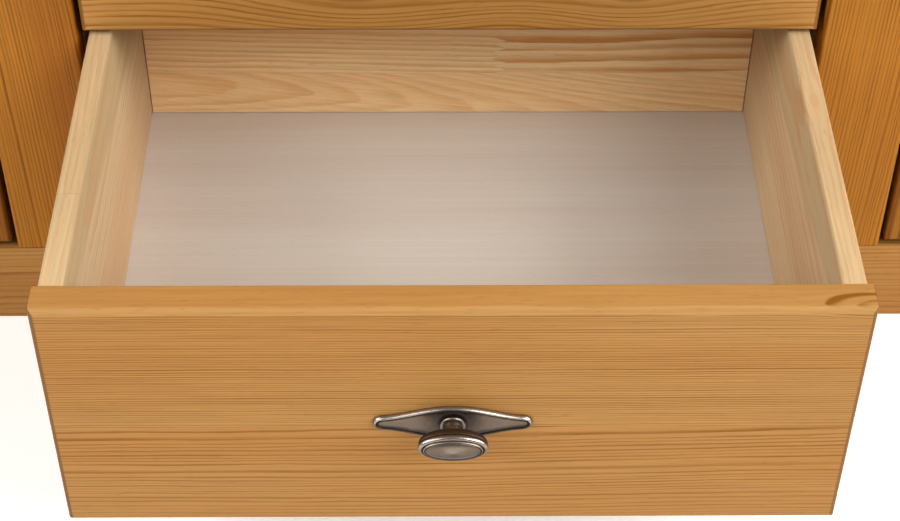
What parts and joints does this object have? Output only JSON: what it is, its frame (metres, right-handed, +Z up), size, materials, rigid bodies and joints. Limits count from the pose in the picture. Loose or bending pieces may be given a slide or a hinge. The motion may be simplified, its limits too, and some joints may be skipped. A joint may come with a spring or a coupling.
{
  "type": "dresser with drawers",
  "caption": "Low pine sideboard: a stack of centre drawers on wooden runners between panelled cupboards, with oval knobs on long shaped plates.",
  "frame": {"origin": "at floor level, in the middle of the box around the whole sideboard with its bottom drawer open as stored", "axes": "+X to the right as seen from the front, +Y to the back, +Z up; drawers pull out along -Y"},
  "size_m": [1.573, 0.6514, 0.704],
  "materials": {
    "stained_pine": "golden stained and waxed solid pine, satin",
    "stained_pine_stile": "golden stained solid pine, darker streaked, satin",
    "raw_pine": "planed unfinished pine, matt",
    "pale_panel": "pale greige faced thin panel, matt",
    "old_silver": "antique silver cast metal, worn bright on the edges and dark in the grooves",
    "steel": "bare turned steel"
  },
  "bodies": {
    "carcass": {"top_board": "stained_pine", "plinth_rail": "stained_pine", "top_rail": "stained_pine", "left_end_panel": "stained_pine", "right_end_panel": "stained_pine", "left_outer_stile": "stained_pine_stile", "right_outer_stile": "stained_pine_stile", "left_inner_stile": "stained_pine_stile", "right_inner_stile": "stained_pine_stile", "base_board": "raw_pine", "back_board": "raw_pine", "left_divider": "raw_pine", "right_divider": "raw_pine", "left_shelf": "raw_pine", "right_shelf": "raw_pine", "bottom_drawer_left_runner": "raw_pine", "bottom_drawer_right_runner": "raw_pine", "middle_drawer_left_runner": "raw_pine", "middle_drawer_right_runner": "raw_pine", "top_drawer_left_runner": "raw_pine", "top_drawer_right_runner": "raw_pine", "left_door_bottom_pin": "steel", "left_door_top_pin": "steel", "right_door_bottom_pin": "steel", "right_door_top_pin": "steel"},
    "bottom_drawer": {"bottom_drawer_front": "stained_pine", "bottom_drawer_left_side": "raw_pine", "bottom_drawer_right_side": "raw_pine", "bottom_drawer_back": "raw_pine", "bottom_drawer_floor": "pale_panel", "bottom_drawer_knob": "old_silver", "bottom_drawer_backplate": "old_silver"},
    "middle_drawer": {"middle_drawer_front": "stained_pine", "middle_drawer_left_side": "raw_pine", "middle_drawer_right_side": "raw_pine", "middle_drawer_back": "raw_pine", "middle_drawer_floor": "pale_panel", "middle_drawer_knob": "old_silver", "middle_drawer_backplate": "old_silver"},
    "top_drawer": {"top_drawer_front": "stained_pine", "top_drawer_left_side": "raw_pine", "top_drawer_right_side": "raw_pine", "top_drawer_back": "raw_pine", "top_drawer_floor": "pale_panel", "top_drawer_knob": "old_silver", "top_drawer_backplate": "old_silver"},
    "left_door": {"left_door_hinge_stile": "stained_pine_stile", "left_door_knob_stile": "stained_pine_stile", "left_door_bottom_rail": "stained_pine_stile", "left_door_top_rail": "stained_pine_stile", "left_door_panel": "stained_pine", "left_door_knob": "old_silver", "left_door_backplate": "old_silver"},
    "right_door": {"right_door_hinge_stile": "stained_pine_stile", "right_door_knob_stile": "stained_pine_stile", "right_door_bottom_rail": "stained_pine_stile", "right_door_top_rail": "stained_pine_stile", "right_door_panel": "stained_pine", "right_door_knob": "old_silver", "right_door_backplate": "old_silver"}
  },
  "joints": [
    {"name": "bottom_drawer_slide", "type": "slide", "parent": "carcass", "child": "bottom_drawer", "axis": [0, -1, 0], "range_m": [-0.2407, 0.0693]},
    {"name": "middle_drawer_slide", "type": "slide", "parent": "carcass", "child": "middle_drawer", "axis": [0, -1, 0], "range_m": [0, 0.31]},
    {"name": "top_drawer_slide", "type": "slide", "parent": "carcass", "child": "top_drawer", "axis": [0, -1, 0], "range_m": [0, 0.31]},
    {"name": "left_door_hinge", "type": "hinge", "parent": "carcass", "child": "left_door", "pos_m": [-0.691, -0.0503, 0.071], "axis": [0, 0, -1], "range_deg": [0, 100]},
    {"name": "right_door_hinge", "type": "hinge", "parent": "carcass", "child": "right_door", "pos_m": [0.691, -0.0503, 0.071], "axis": [0, 0, 1], "range_deg": [0, 100]}
  ]
}
